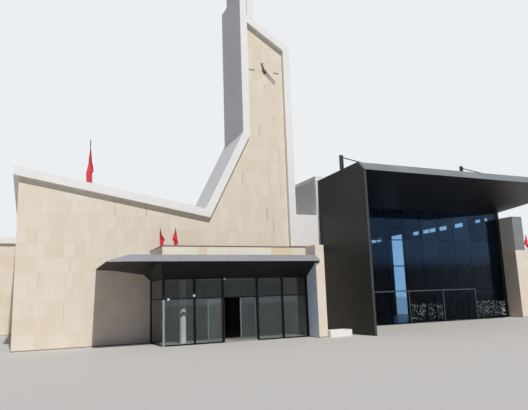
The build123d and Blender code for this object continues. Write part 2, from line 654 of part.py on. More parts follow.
def right_block():
    under = RIGHT_TOP - WALL
    y0 = RIGHT_FRONT
    y1 = RIGHT_BACK
    walls = block(HALL_RIGHT, RIGHT_END, y0, y1, 0, under)
    walls -= block(HALL_RIGHT, RIGHT_END - WALL, y0 + WALL, y1 - WALL, 0, under)
    walls += block(HALL_RIGHT, HALL_RIGHT + WALL, y0 + WALL, HALL_GLAZING, 0, under)
    keep("right_block_walls", walls)
    keep("right_block_roof", block(HALL_RIGHT, RIGHT_END, y0, y1, under, RIGHT_TOP))
    lantern = block(HALL_RIGHT, LANTERN_RIGHT, RIGHT_FRONT, LANTERN_BACK, RIGHT_TOP, LANTERN_TOP)
    lantern -= block(HALL_RIGHT + LANTERN_WALL, LANTERN_RIGHT - LANTERN_WALL,
                     RIGHT_FRONT + LANTERN_WALL, LANTERN_BACK - LANTERN_WALL,
                     RIGHT_TOP, LANTERN_TOP - LANTERN_WALL)
    keep("right_white_block", lantern)


def furled_flag(x, y, top, sizes):
    """A flag that hangs from its tie at the pole, widest some way above its foot."""
    drop, tall, left, right, widest = sizes
    tie = top - drop
    outline = [(x - FLAG_TIE, tie), (x + FLAG_TIE, tie), (x + right, tie - widest),
               (x + FLAG_FOOT * right, tie - tall), (x - FLAG_FOOT * left, tie - tall),
               (x - left, tie - widest)]
    return front_prism(outline, y - FLAG_THICK, y)


def outside_pieces():
    y0 = PLANTER_FRONT
    w = PLANTER_WALL
    box = block(PLANTER_LEFT, PLANTER_RIGHT, y0, y0 + PLANTER_DEEP, 0, PLANTER_TOP)
    box -= block(PLANTER_LEFT + w, PLANTER_RIGHT - w, y0 + w, y0 + PLANTER_DEEP - w,
                 w, PLANTER_TOP)
    keep("planter", box)
    poles = []
    flags = []
    for (x, y, foot), pole, flag in zip(POLES, POLE_TALL, FLAGS):
        z0 = roof_top(x - POLE_R) if foot is None else foot
        poles.append(rod((x, y, z0), (x, y, z0 + pole), POLE_R))
        flags.append(furled_flag(x, y - POLE_R - POLE_GAP, z0 + pole, flag))
    keep("flagpoles", *poles)
    keep("flags", *flags)


stone_front()
roofs()
tower()
clock()
entrance_frame()
entrance_glass()
entrance_doors()
entrance_canopy()
entrance_masonry()
hall_front()
hall_doors()
hall_shell()
portal()
right_block()
outside_pieces()

boxes = [shape.bounding_box() for shape in PARTS.values()]
shift_x = -(min(b.min.X for b in boxes) + max(b.max.X for b in boxes)) / 2
shift_y = -(min(b.min.Y for b in boxes) + max(b.max.Y for b in boxes)) / 2
os.makedirs("parts", exist_ok=True)
for node, shape in PARTS.items():
    export_step(Pos(shift_x, shift_y, 0) * shape, f"parts/{node}.step")
print(len(PARTS), "sub-parts, moved by", shift_x, shift_y)
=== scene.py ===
import math
import random

import bmesh
import bpy
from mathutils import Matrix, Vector


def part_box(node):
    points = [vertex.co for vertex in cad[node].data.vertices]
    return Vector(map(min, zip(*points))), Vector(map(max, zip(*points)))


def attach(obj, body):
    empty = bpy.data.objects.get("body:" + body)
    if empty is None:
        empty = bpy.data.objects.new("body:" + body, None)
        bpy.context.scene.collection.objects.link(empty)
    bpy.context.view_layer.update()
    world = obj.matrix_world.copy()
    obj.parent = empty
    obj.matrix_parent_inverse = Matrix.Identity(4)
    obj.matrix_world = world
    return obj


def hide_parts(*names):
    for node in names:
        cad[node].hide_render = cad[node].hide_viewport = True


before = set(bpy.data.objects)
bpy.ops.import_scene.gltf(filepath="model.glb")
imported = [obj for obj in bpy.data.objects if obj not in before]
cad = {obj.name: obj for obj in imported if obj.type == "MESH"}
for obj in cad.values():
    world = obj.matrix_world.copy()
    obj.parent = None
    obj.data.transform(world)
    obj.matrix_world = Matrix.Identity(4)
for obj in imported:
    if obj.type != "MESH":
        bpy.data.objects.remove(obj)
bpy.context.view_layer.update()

# --------------------
# Camera and studio: a pale room lit by one distant lamp, high in front of the building and a
# little to the right, so that roof edges throw their shade straight down the stone. The camera
# stands to the left of the front at eye height, and looks up and to the right.
scene = bpy.context.scene
scene.view_settings.view_transform = "Standard"

CAMERA_PLACE = (-17.32, -38.3225, 2.13)
CAMERA_TURN = (100.07072, 1.96138, -24.12363)
CAMERA_LENS, CAMERA_REACH = 35.7435, 500.0
lens = bpy.data.cameras.new("camera")
lens.lens = CAMERA_LENS
lens.clip_end = CAMERA_REACH
camera = bpy.data.objects.new("camera", lens)
camera.location = CAMERA_PLACE
camera.rotation_euler = [math.radians(a) for a in CAMERA_TURN]
scene.collection.objects.link(camera)
scene.camera = camera

# The lamp's height, its turn to the right and its softness in degrees
LAMP_HIGH, LAMP_RIGHT, LAMP_SOFT = 51.0, 2.3, 1.2
LAMP_POWER, LAMP_COLOUR = 3.15, (1.0, 0.985, 0.96)
lamp = bpy.data.lights.new("studio_sun", "SUN")
lamp.energy = LAMP_POWER
lamp.angle = math.radians(LAMP_SOFT)
lamp.color = LAMP_COLOUR
sun = bpy.data.objects.new("studio_sun", lamp)
sun.rotation_euler = (math.radians(90 - LAMP_HIGH), 0, math.radians(LAMP_RIGHT))
scene.collection.objects.link(sun)


def linear(code):
    """An sRGB colour written as #rrggbb, as linear red, green, blue and 1."""
    parts = [int(code[n:n + 2], 16) / 255 for n in (1, 3, 5)]
    return [c / 12.92 if c <= 0.04045 else ((c + 0.055) / 1.055) ** 2.4 for c in parts] + [1.0]


def feed(node, inputs):
    """Give each socket its value, or link it to a socket or to another node's first one."""
    for name, value in inputs.items():
        if isinstance(value, bpy.types.Node):
            value = value.outputs[0]
        if isinstance(value, bpy.types.NodeSocket):
            node.id_data.links.new(value, node.inputs[name])
        else:
            node.inputs[name].default_value = value


def add(tree, kind, inputs=None, stops=None, **settings):
    """Add a node with its settings, what its sockets get and, for a ramp, its stops."""
    made = tree.nodes.new(kind)
    for name, value in settings.items():
        setattr(made, name, value)
    feed(made, inputs or {})
    if stops:
        ramp = made.color_ramp
        while len(ramp.elements) < len(stops):
            ramp.elements.new(1.0)
        for element, (place, code) in zip(ramp.elements, stops):
            element.position = place
            element.color = linear(code)
    return made


# The pale room is what the camera, gloss and glass show. Matt surfaces get a weaker, cooler
# fill, also where their light comes in through a pane.
ROOM_FILL = 0.26
room = bpy.data.worlds.new("room")
room.use_nodes = True
scene.world = room
tree = room.node_tree
tree.nodes.clear()
seen = add(tree, "ShaderNodeLightPath").outputs
shows = seen["Is Camera Ray"]
for ray in ("Is Glossy Ray", "Is Transmission Ray"):
    shows = add(tree, "ShaderNodeMath", {0: shows, 1: seen[ray]}, operation="MAXIMUM")
not_matt = add(tree, "ShaderNodeMath", {0: seen["Diffuse Depth"], 1: 0.5}, operation="LESS_THAN")
shows = add(tree, "ShaderNodeMath", {0: shows, 1: not_matt}, operation="MULTIPLY")
fill = add(tree, "ShaderNodeBackground", {"Color": linear("#c9d9ff"), "Strength": ROOM_FILL})
pale = add(tree, "ShaderNodeBackground", {"Color": linear("#eceff2"), "Strength": 1.0})
both = add(tree, "ShaderNodeMixShader", {0: shows, 1: fill, 2: pale})
add(tree, "ShaderNodeOutputWorld", {"Surface": both})


def new_material(name, **sockets):
    """A material with one Principled shader, and its sockets that are the same all over."""
    material = bpy.data.materials.new(name)
    material.use_nodes = True
    shader = material.node_tree.nodes["Principled BSDF"]
    feed(shader, {name.replace("_", " "): value for name, value in sockets.items()})
    return material, material.node_tree, shader


def new_mesh_piece(name, points, faces, material=None):
    """An object at the origin with its place in its mesh."""
    mesh = bpy.data.meshes.new(name)
    mesh.from_pydata([tuple(p) for p in points], [], faces)
    mesh.update()
    piece = bpy.data.objects.new(name, mesh)
    scene.collection.objects.link(piece)
    if material:
        mesh.materials.append(material)
    return piece


FLOOR_HALF, FLOOR_SUNK = 220.0, 0.003
floor_grey, tree, shader = new_material("studio_floor", Roughness=0.85,
                                        Base_Color=linear("#c3bfb9"))
corners = [(x * FLOOR_HALF, y * FLOOR_HALF, -FLOOR_SUNK)
           for x, y in ((-1, -1), (1, -1), (1, 1), (-1, 1))]
floor = new_mesh_piece("studio_floor", corners, [(0, 1, 2, 3)], floor_grey)

# --------------------
# Stone walls: concrete walls clad with sawn slabs of cream limestone, hung on hidden anchors in
# courses 744 mm high. The slabs are 0.3 to 0.62 m wide, each a little in or out of the next, and
# a few cross joints were left open wider. The first course stands clear of the ground.


def dress(material, *names):
    """Give CAD nodes a material."""
    for name in names:
        slots = cad[name].data.materials
        slots.clear()
        slots.append(material)


def own_place(tree, stretch=(1.0, 1.0, 1.0)):
    """The piece's own coordinates in metres, stretched."""
    place = add(tree, "ShaderNodeTexCoord").outputs["Object"]
    return add(tree, "ShaderNodeMapping", {"Vector": place, "Scale": stretch})


def spots(tree, size, stretch=(1.0, 1.0, 1.0), detail=5.0, rough=0.5):
    """Soft spots of a size in metres on the piece's own coordinates."""
    return add(tree, "ShaderNodeTexNoise", {
        "Vector": own_place(tree, stretch), "Scale": 1 / size, "Detail": detail,
        "Roughness": rough})


def toned(tree, *stops):
    """A colour for each slab, roll or tile, from the tone of its face."""
    tone = add(tree, "ShaderNodeAttribute", attribute_name="tone").outputs["Fac"]
    return add(tree, "ShaderNodeValToRGB", {"Fac": tone}, stops)


def laid_over(tree, factor, base, pattern, *stops, way="MULTIPLY"):
    """A colour that follows a pattern, laid over a base."""
    over = add(tree, "ShaderNodeValToRGB", {"Fac": pattern}, stops)
    return add(tree, "ShaderNodeMix", {"Factor": factor, "A": base, "B": over},
               data_type="RGBA", blend_type=way).outputs["Result"]


def finish_shader(shader, colour, height, depth, strength=0.25):
    """Join a colour and a relief of a depth in metres to the shader."""
    relief = add(shader.id_data, "ShaderNodeBump", {
        "Strength": strength, "Distance": depth, "Height": height})
    feed(shader, {"Base Color": colour, "Normal": relief})


def mottled(name, low, high, size, depth, strength=0.25, stretch=(1.0, 1.0, 1.0), detail=5.0,
            grain=None, **sockets):
    """A finish that drifts between two tones in spots of a size. The spots, or else a grain of
    its own size, are its relief."""
    material, tree, shader = new_material(name, **sockets)
    patches = spots(tree, size, stretch, detail)
    tones = add(tree, "ShaderNodeValToRGB", {"Fac": patches}, ((0.3, low), (0.7, high)))
    finish_shader(shader, tones, spots(tree, grain) if grain else patches, depth, strength)
    return material


# Sawn limestone: matt and fine-grained. Each slab has its own cream, sand or faintly pink tone,
# with upright streaks some 80 mm apart, cloudy stains, and pores drawn 7 mm wide to show at all.
limestone, tree, shader = new_material("limestone_sawn", Roughness=0.86)
slab_tone = toned(tree, (0.0, "#e2d2b4"), (0.2, "#e2d7c3"), (0.45, "#e6dac9"), (0.8, "#e7dfd0"),
                  (1.0, "#e9e3d0"))
streaked = laid_over(tree, 0.16, slab_tone, spots(tree, 0.35, (4.5, 4.5, 0.7), 5.0, 0.6),
                     (0.25, "#d9cab0"), (0.5, "#ffffff"), (0.75, "#fffaf2"))
stained = laid_over(tree, 0.22, streaked, spots(tree, 1.3), (0.35, "#ffffff"), (0.75, "#f0e2cc"))
pores = spots(tree, 0.007, detail=3.0)
pitted = laid_over(tree, 0.2, stained, pores, (0.3, "#d9cdb8"), (0.55, "#ffffff"))
finish_shader(shader, pitted, pores, 0.002)

# Backing wall: dusty sand-grey cement render, seen inside the joints and on the inner faces.
dress(mottled("cement_backing", "#8c8373", "#a09682", 0.33, 0.002, detail=6.0, Roughness=0.95),
      "front_wall_left", "front_wall_upper", "front_wall_right", "left_side_wall", "wing_walls",
      "back_wall", "hall_back_wall", "entrance_parapet", "entrance_pier", "right_block_walls",
      "right_block_roof")


def new_tree(name, **kinds):
    """A tree of geometry nodes with named inputs, and the sockets that give them."""
    tree = bpy.data.node_groups.new(name, "GeometryNodeTree")
    for label, kind in {"Geometry": "Geometry", **kinds, "Material": "Material"}.items():
        tree.interface.new_socket(label, in_out="INPUT", socket_type="NodeSocket" + kind)
    tree.interface.new_socket("Geometry", in_out="OUTPUT", socket_type="NodeSocketGeometry")
    return tree, add(tree, "NodeGroupInput").outputs


def end_tree(tree, shape, material):
    """End a tree of geometry nodes: real copies, with their material."""
    real = add(tree, "GeometryNodeRealizeInstances", {"Geometry": shape})
    painted = add(tree, "GeometryNodeSetMaterial", {"Geometry": real, "Material": material})
    add(tree, "NodeGroupOutput", {"Geometry": painted})


# The layer tree: each face becomes one closed slab, a little thicker or thinner than the next.
WELD = 0.0001
layer, given = new_tree("slab_layer", Thickness="Float", Lippage="Float", Seed="Int")
uneven = add(layer, "FunctionNodeRandomValue", {
    "Min": 0.0, "Max": given["Lippage"], "Seed": given["Seed"]})
proud = add(layer, "ShaderNodeMath", {0: given["Thickness"], 1: uneven.outputs[1]},
            operation="SUBTRACT")
raised = add(layer, "GeometryNodeExtrudeMesh", {
    "Mesh": given["Geometry"], "Individual": True, "Offset Scale": proud})
under = add(layer, "GeometryNodeFlipFaces", {"Mesh": given["Geometry"]})
joined = add(layer, "GeometryNodeJoinGeometry", {0: under})
feed(joined, {0: raised})
closed = add(layer, "GeometryNodeMergeByDistance", {"Geometry": joined, "Distance": WELD})
end_tree(layer, closed, given["Material"])


def plain_mesh(piece):
    """Keep what a piece's modifier makes of it as its own mesh, without the modifier."""
    graph = bpy.context.evaluated_depsgraph_get()
    mesh = bpy.data.meshes.new_from_object(piece.evaluated_get(graph))
    mesh.name = piece.name
    piece.modifiers.clear()
    old, piece.data = piece.data, mesh
    bpy.data.meshes.remove(old)


def run_tree(piece, tree, **values):
    """Put a piece through a tree of geometry nodes."""
    step = piece.modifiers.new("tree", "NODES")
    step.node_group = tree
    for item in tree.interface.items_tree:
        if item.in_out == "INPUT" and item.name in values:
            step[item.identifier] = values[item.name]
    plain_mesh(piece)


def cut(mesh, place, axis, **sides):
    """Cut a mesh across an axis at a place, and clear one side of it if asked to."""
    everything = mesh.verts[:] + mesh.edges[:] + mesh.faces[:]
    bmesh.ops.bisect_plane(mesh, geom=everything, dist=WELD / 10, plane_co=axis * place,
                           plane_no=axis, **sides)


# Points this close after the cuts are one, a smaller face in square metres is dropped, and
# faces and edges that turn less than these angles in radians are made one
MEND, SLIVER, FLAT, STRAIGHT = 0.0003, 0.0004, 0.01, 0.005
TONES = (0.2, 0.8)


def cut_faces(names, accept, along, up, rows, columns, gap, draw, span=None):
    """Copy the faces of CAD nodes that accept() takes, cut them into rows and columns with open
    joints between, and return points, faces and a random tone for each face. columns(), where
    there are any, gives the place and width of a row's joints, and span is what is covered."""
    base = bmesh.new()
    for name in names:
        base.from_mesh(cad[name].data)
    bmesh.ops.remove_doubles(base, verts=base.verts, dist=WELD)
    base.normal_update()
    unwanted = [f for f in base.faces if not accept(f.normal, f.calc_center_median())]
    bmesh.ops.delete(base, geom=unwanted, context="FACES")
    if span:
        cut(base, span[0], along, clear_inner=True)
        cut(base, span[1], along, clear_outer=True)
    for axis in (along, up):
        for place in sorted({round(v.co.dot(axis), 3) for v in base.verts}):
            cut(base, place, axis)
    bmesh.ops.remove_doubles(base, verts=base.verts, dist=MEND)
    points, faces, tones = [], [], []
    for row, (low, high) in enumerate(zip(rows, rows[1:])):
        strip = base.copy()
        cut(strip, low + gap / 2, up, clear_inner=True)
        cut(strip, high - gap / 2, up, clear_outer=True)
        if not strip.faces:
            strip.free()
            continue
        reach = [v.co.dot(along) for v in strip.verts]
        joints = columns(row, min(reach), max(reach)) if columns else []
        for joint, width in joints:
            cut(strip, joint - width / 2, along)
            cut(strip, joint + width / 2, along)
        open_joint = [f for f in strip.faces
                      if any(abs(f.calc_center_median().dot(along) - joint) < width / 2
                             for joint, width in joints)]
        bmesh.ops.delete(strip, geom=open_joint, context="FACES")
        bmesh.ops.dissolve_limit(strip, angle_limit=FLAT, use_dissolve_boundaries=False,
                                 verts=strip.verts, edges=strip.edges)
        straight = []
        for v in strip.verts:
            if len(v.link_edges) == 2:
                a, b = (e.other_vert(v).co - v.co for e in v.link_edges)
                if a.angle(b, 0) > math.pi - STRAIGHT:
                    straight.append(v)
        bmesh.ops.dissolve_verts(strip, verts=straight)
        strip.verts.index_update()
        start = len(points)
        points += [v.co.copy() for v in strip.verts]
        for f in strip.faces:
            if f.calc_area() > SLIVER:
                faces.append([start + v.index for v in f.verts])
                tones.append(draw.uniform(*TONES))
        strip.free()
    base.free()
    return points, faces, tones


X, Y, Z = Vector((1, 0, 0)), Vector((0, 1, 0)), Vector((0, 0, 1))
COURSE, COURSE_FOOT = 0.744, 0.04
SLAB_NARROW, SLAB_WIDE = 0.3, 0.62
SLAB_JOINT, SLAB_THICK, SLAB_LIPPAGE = 0.0025, 0.016, 0.002
# A row's first slab next to the widest, the least last slab, and the way kept from a wide joint
FIRST, STUB, CLEAR = (0.4, 1.0), 0.12, 0.2
# How straight a face looks along an axis, how near it lies to its place, and a corner's reach
TRUE, NEAR, CORNER = 0.99, 0.01, 0.001
# The wide joints on the front: place along it, a height in their course, and how wide
WIDE_JOINTS = [
    (-4.56, 12.27, 0.026), (-3.50, 13.06, 0.018), (-3.25, 10.84, 0.018), (-5.73, 9.33, 0.014),
    (-3.99, 9.41, 0.014), (-3.21, 8.54, 0.014), (-4.19, 7.07, 0.032), (-3.78, 6.29, 0.032),
    (-15.70, 4.91, 0.012), (-16.78, 3.33, 0.012), (-11.46, 6.83, 0.024), (-13.14, 6.91, 0.02),
    (-15.32, 4.23, 0.012), (-15.55, 2.06, 0.012), (-13.14, 3.49, 0.012), (-12.52, 3.35, 0.012)]


def slab_piece(name, material, parts, seed, thickness=SLAB_THICK, lippage=SLAB_LIPPAGE):
    """One piece of closed slabs on the faces in parts, fixed to the building."""
    points, faces, tones = [], [], []
    for part_points, part_faces, part_tones in parts:
        start = len(points)
        points += part_points
        faces += [[start + n for n in face] for face in part_faces]
        tones += part_tones
    piece = new_mesh_piece(name, points, faces)
    attribute = piece.data.attributes.new("tone", "FLOAT", "FACE")
    attribute.data.foreach_set("value", tones)
    run_tree(piece, layer, Thickness=thickness, Lippage=lippage, Seed=seed, Material=material)
    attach(piece, "building")
    return piece


def courses(top):
    """The level joints from the foot up to top."""
    return [COURSE_FOOT + n * COURSE for n in range(int(top / COURSE) + 2)]


def random_bond(draw, wide):
    """Cross joints at random widths, as the slabs came from the saw, and the wide ones."""
    def joints(row, start, end):
        here = [(x, open_by) for x, z, open_by in wide if int((z - COURSE_FOOT) / COURSE) == row]
        places = [start + draw.uniform(*FIRST) * SLAB_WIDE]
        while places[-1] < end - SLAB_NARROW:
            places.append(places[-1] + draw.uniform(SLAB_NARROW, SLAB_WIDE))
        kept = [p for p in places
                if p < end - STUB and all(abs(p - x) > CLEAR for x, open_by in here)]
        return [(p, SLAB_JOINT) for p in kept] + here
    return joints


def stone(names, accept, along, rows, draw, wide=(), span=None):
    """Faces of CAD nodes cut into the slabs of a wall."""
    return cut_faces(names, accept, along, Z, rows, random_bond(draw, wide), SLAB_JOINT, draw,
                     span)


def facing(direction, place=None):
    """Take the faces that look along an axis and, if given, lie at a place on it."""
    def accept(normal, centre):
        there = centre.dot(direction) * sum(direction)
        return normal.dot(direction) >= TRUE and (place is None or abs(there - place) < NEAR)
    return accept


def over_corner(part, corner_x):
    """Let the slabs at a left corner reach over the edge of the slabs round it."""
    for point in part[0]:
        if point.x < corner_x + CORNER:
            point.x -= SLAB_THICK


draw = random.Random(17)
left_x, stone_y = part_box("front_wall_left")[0][:2]
front = stone(["front_wall_left", "front_wall_upper", "front_wall_right"], facing(-Y, stone_y), X,
              courses(20), draw, WIDE_JOINTS)
over_corner(front, left_x)
side = stone(["front_wall_left", "left_side_wall"], facing(-X, left_x), Y, courses(10), draw)
slab_piece("front_stone_slabs", limestone, [front], 3)
slab_piece("left_side_stone_slabs", limestone, [side], 4)

wing_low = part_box("wing_walls")[0]
wing = [stone(["wing_walls"], facing(-Y, wing_low.y), X, courses(10), draw),
        stone(["wing_walls", "back_wall"], facing(-X, wing_low.x), Y, courses(8), draw)]
slab_piece("wing_stone_slabs", limestone, wing, 5)
rear = stone(["back_wall", "hall_back_wall"], facing(Y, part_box("back_wall")[1].y), X, courses(10),
             draw)
slab_piece("back_stone_slabs", limestone, [rear], 6)

# --------------------
# Entrance masonry: the stone parapet over the canopy and the stone pier at its right, clad like
# the walls, with a thin dark metal coping on the parapet. Under the canopy the pier's inner
# side is faced with one smooth sheet of pale metal, whose blue is painted skylight on its shaded
# face.
parapet_low, parapet_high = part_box("entrance_parapet")
pier_low, pier_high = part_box("entrance_pier")
canopy_low, canopy_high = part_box("entrance_canopy")
# The parapet's cross joints along the front, and the tone of the slab that starts at each
PARAPET_SLABS = [(parapet_low.x - 1, 1.0), (-9.40, 0.05), (-8.98, 1.0), (-7.75, 0.8),
                 (-6.55, 1.0), (-5.36, 0.0), (-4.09, 0.6)]


def parapet_joints(row, start, end):
    return [(x, SLAB_JOINT) for x, tone in PARAPET_SLABS if start < x < end]


parapet_rows = [canopy_high.z - 0.005, parapet_high.z + 0.01]
draw = random.Random(29)
parapet_front = cut_faces(["entrance_parapet"], facing(-Y, parapet_low.y), X, Z, parapet_rows,
                          parapet_joints, SLAB_JOINT, draw)
for n, face in enumerate(parapet_front[1]):
    middle = sum(parapet_front[0][m].x for m in face) / len(face)
    parapet_front[2][n] = [tone for x, tone in PARAPET_SLABS if x < middle][-1]
over_corner(parapet_front, parapet_low.x)
parapet_side = stone(["entrance_parapet"], facing(-X, parapet_low.x), Y, parapet_rows, draw)
slab_piece("parapet_stone_slabs", limestone, [parapet_front, parapet_side], 7)

pier_front = cut_faces(["entrance_pier"], facing(-Y), X, Z, courses(5.5), None, SLAB_JOINT, draw)
for point in pier_front[0]:
    point.x += SLAB_THICK * (1 if point.x > (pier_low.x + pier_high.x) / 2 else -1)
pier_left = cut_faces(["entrance_pier"], facing(-X), Y, Z, parapet_rows, None, SLAB_JOINT, draw)
pier_right = stone(["entrance_pier"], facing(X), Y, courses(5.5), draw)
slab_piece("pier_stone_slabs", limestone, [pier_front, pier_left, pier_right], 8)

# Coil-coated aluminium sheet: smooth satin, nearly white, with a slight bow that bends what
# it mirrors. Its pale blue is painted skylight, the light of the sky on this shaded side.
pale_sheet_painted_skylight = mottled("aluminium_coated_pale_painted_skylight", "#dceaff", "#e4efff", 0.9, 0.01, 0.2,
                     (1.0, 1.0, 0.6), 3.0, Roughness=0.35)
sheet = cut_faces(["entrance_pier"], facing(-X), Y, Z, [0.02, canopy_low.z + 1.0], None, 0.0,
                  draw, (pier_low.y + 0.004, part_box("entrance_upper_frame")[0].y))
slab_piece("pier_side_sheet", pale_sheet_painted_skylight, [sheet], 9, 0.006, 0.0)

# Folded sheet metal: dark bronze-grey paint, half matt, a little faded in patches.
coping_paint = mottled("coping_sheet_painted", "#55493c", "#6b5f50", 0.2, 0.002, Roughness=0.5)


def folded_cap(name, material, x0, x1, y0, y1, z, hang=0.05, out=0.022, thick=0.004):
    """A cap of folded sheet over a wall's top: a flat top with its edges turned down."""
    x0, x1, y0, y1 = x0 - out, x1 + out, y0 - out, y1 + out
    top, low = z + thick, z - hang
    inner = (x0 + thick, x1 - thick, y0 + thick, y1 - thick)
    points = []
    for a, b, c, d, level in ((x0, x1, y0, y1, low), (x0, x1, y0, y1, top), (*inner, z),
                              (*inner, low)):
        points += [(a, c, level), (b, c, level), (b, d, level), (a, d, level)]
    faces = [(4, 5, 6, 7), (11, 10, 9, 8)]
    for base, above in ((0, 4), (8, 12), (12, 0)):
        for n, m in ((0, 1), (1, 2), (2, 3), (3, 0)):
            faces.append((base + n, base + m, above + m, above + n))
    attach(new_mesh_piece(name, points, faces, material), "building")


WALL = 0.3
folded_cap("parapet_front_coping", coping_paint, parapet_low.x, parapet_high.x - 0.03,
           parapet_low.y, parapet_low.y + WALL, parapet_high.z)
folded_cap("parapet_side_coping", coping_paint, parapet_low.x, parapet_low.x + WALL,
           parapet_low.y + WALL + 0.05, stone_y - 0.05, parapet_high.z)

# --------------------
# White bands, fins and upper walls: smooth acrylic render on insulated boards, warm white. The
# trowel leaves faint clouds, and rain leaves weak grey runs. A sealed joint parts the two fins.
white, tree, shader = new_material("acrylic_render_white", Roughness=0.78)
trowel = spots(tree, 0.9, detail=6.0, rough=0.6)
clean = add(tree, "ShaderNodeValToRGB", {"Fac": trowel}, ((0.3, "#e9e7e3"), (0.7, "#efede9")))
weathered = laid_over(tree, 0.08, clean, spots(tree, 0.9, (4.0, 4.0, 0.4), 4.0, 0.55),
                      (0.42, "#ffffff"), (0.75, "#d9d4cb"))
finish_shader(shader, weathered, spots(tree, 0.004, detail=2.0), 0.001, 0.2)
dress(white, "left_roof", "wing_roof", "ramp", "tower_left_fin", "tower_inner_fin",
      "tower_right_wall", "tower_back_wall", "tower_top", "link_white_wall", "hall_left_wall",
      "hall_right_wall", "hall_parapet", "planter", "entrance_column")


def bars_piece(name, material, bars):
    """One piece of straight bars, each from its low to its high corner."""
    points, faces = [], []
    for low, high in bars:
        start = len(points)
        points += [(x, y, z) for z in (low[2], high[2]) for y in (low[1], high[1])
                   for x in (low[0], high[0])]
        faces += [[start + n for n in face] for face in
                  ((0, 2, 3, 1), (4, 5, 7, 6), (0, 1, 5, 4), (2, 6, 7, 3), (0, 4, 6, 2),
                   (1, 3, 7, 5))]
    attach(new_mesh_piece(name, points, faces, material), "building")


# Joint sealant: grey silicone, slightly shiny, smoothed with a wet finger.
sealant = mottled("silicone_sealant_grey", "#9a9692", "#aaa6a2", 0.05, 0.001, Roughness=0.45)
SEAL_HALF, SEAL_OUT, SEAL_FOOT, SEAL_HEAD = 0.02, 0.004, 0.25, 0.01
(seal_x, seal_y, foot), (*_, head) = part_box("tower_inner_fin")
bars_piece("fin_sealed_joint", sealant, [
    ((seal_x - SEAL_HALF, seal_y - SEAL_OUT, foot + SEAL_FOOT),
     (seal_x + SEAL_HALF, seal_y + SEAL_OUT, head - SEAL_HEAD))])

# White coated sheet: folded caps on the hall's parapets, with satin paint. A flat border of the
# same sheet stands out along the front end and the top of the hall's left wall.
cap_paint = mottled("aluminium_coated_white", "#eceae7", "#f5f3f1", 0.35, 0.002, Roughness=0.4,
                    Metallic=0.2)
hall_low, hall_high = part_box("hall_left_wall")
right_low, right_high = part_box("hall_right_wall")
BORDER_OUT, BORDER_WIDE, BORDER_PROUD, BORDER_GAP = 0.16, 0.2, 0.003, 0.001
border_x = hall_low.x - BORDER_OUT
folded_cap("hall_left_cap", cap_paint, border_x, hall_high.x, hall_low.y, hall_high.y,
           hall_high.z, out=0.012)
level_z = hall_high.z - BORDER_WIDE
bars_piece("hall_left_border", cap_paint, [
    ((border_x, hall_low.y - BORDER_PROUD, foot), (hall_low.x - BORDER_GAP, back, head))
    for foot, head, back in (
        (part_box("link_white_wall")[1].z + 0.004, level_z - BORDER_GAP, hall_low.y + BORDER_WIDE),
        (level_z, hall_high.z - BORDER_GAP, hall_high.y - BORDER_GAP))])
folded_cap("hall_back_cap", cap_paint, hall_high.x + 0.02, right_high.x, hall_high.y - WALL,
           hall_high.y, hall_high.z, out=0.012)
folded_cap("hall_right_cap", cap_paint, right_low.x, right_high.x, right_low.y,
           hall_high.y - WALL - 0.03, hall_high.z, out=0.012)

# --------------------
# Flat roofs: sheets of mineral felt a metre wide, torched down with their laps side by side.
# The white edges of the roofs stay free.


def speckled(tree, base, many, factor):
    """A base colour with light and dark chips, so many to a metre, and the chips' relief."""
    chips = add(tree, "ShaderNodeTexVoronoi", {"Vector": own_place(tree), "Scale": many}).outputs
    over = add(tree, "ShaderNodeMix", {"Factor": factor, "A": base, "B": chips["Color"]},
               data_type="RGBA", blend_type="SOFT_LIGHT")
    return over.outputs["Result"], chips["Distance"]


# Mineral felt: matt light grey, each roll its own tone, with paler dust where puddles dried.
felt, tree, shader = new_material("roof_felt_mineral", Roughness=0.95)
roll = toned(tree, (0.0, "#b9b6af"), (1.0, "#c9c6be"))
puddles = laid_over(tree, 0.5, roll, spots(tree, 2.0), (0.3, "#c9c4ba"), (0.7, "#ffffff"))
finish_shader(shader, *speckled(tree, puddles, 160.0, 0.3), 0.002)
dress(felt, "hall_roof", "entrance_roof")
FELT_WIDE, FELT_LONG, FELT_THICK, FELT_JOINT, ROOF_RIM = 1.0, 7.5, 0.005, 0.006, 0.35
# The least length of a strip's first roll and of its last one
FELT_FIRST, FELT_LAST = 2.0, 0.5


def strips(start, count, wide=FELT_WIDE):
    """The edges of strips or rows laid side by side."""
    return [start + n * wide for n in range(count)]


def roll_ends(draw):
    """The ends of the rolls in one strip of felt."""
    def joints(row, start, end):
        places = strips(start + draw.uniform(FELT_FIRST, FELT_LONG), 4, FELT_LONG)
        return [(p, FELT_JOINT) for p in places if p < end - FELT_LAST]
    return joints


roof_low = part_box("left_roof")[0]
low_roof_low, low_roof_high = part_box("right_block_roof")
hall_roof_low, hall_roof_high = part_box("hall_roof")
wing_roof_low, wing_roof_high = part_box("wing_roof")


def left_roof_top(normal, centre):
    """The left roof's upper faces, without the ledges under them."""
    return normal.z > 0.97 and centre.z > roof_low.z + 0.3


draw = random.Random(41)
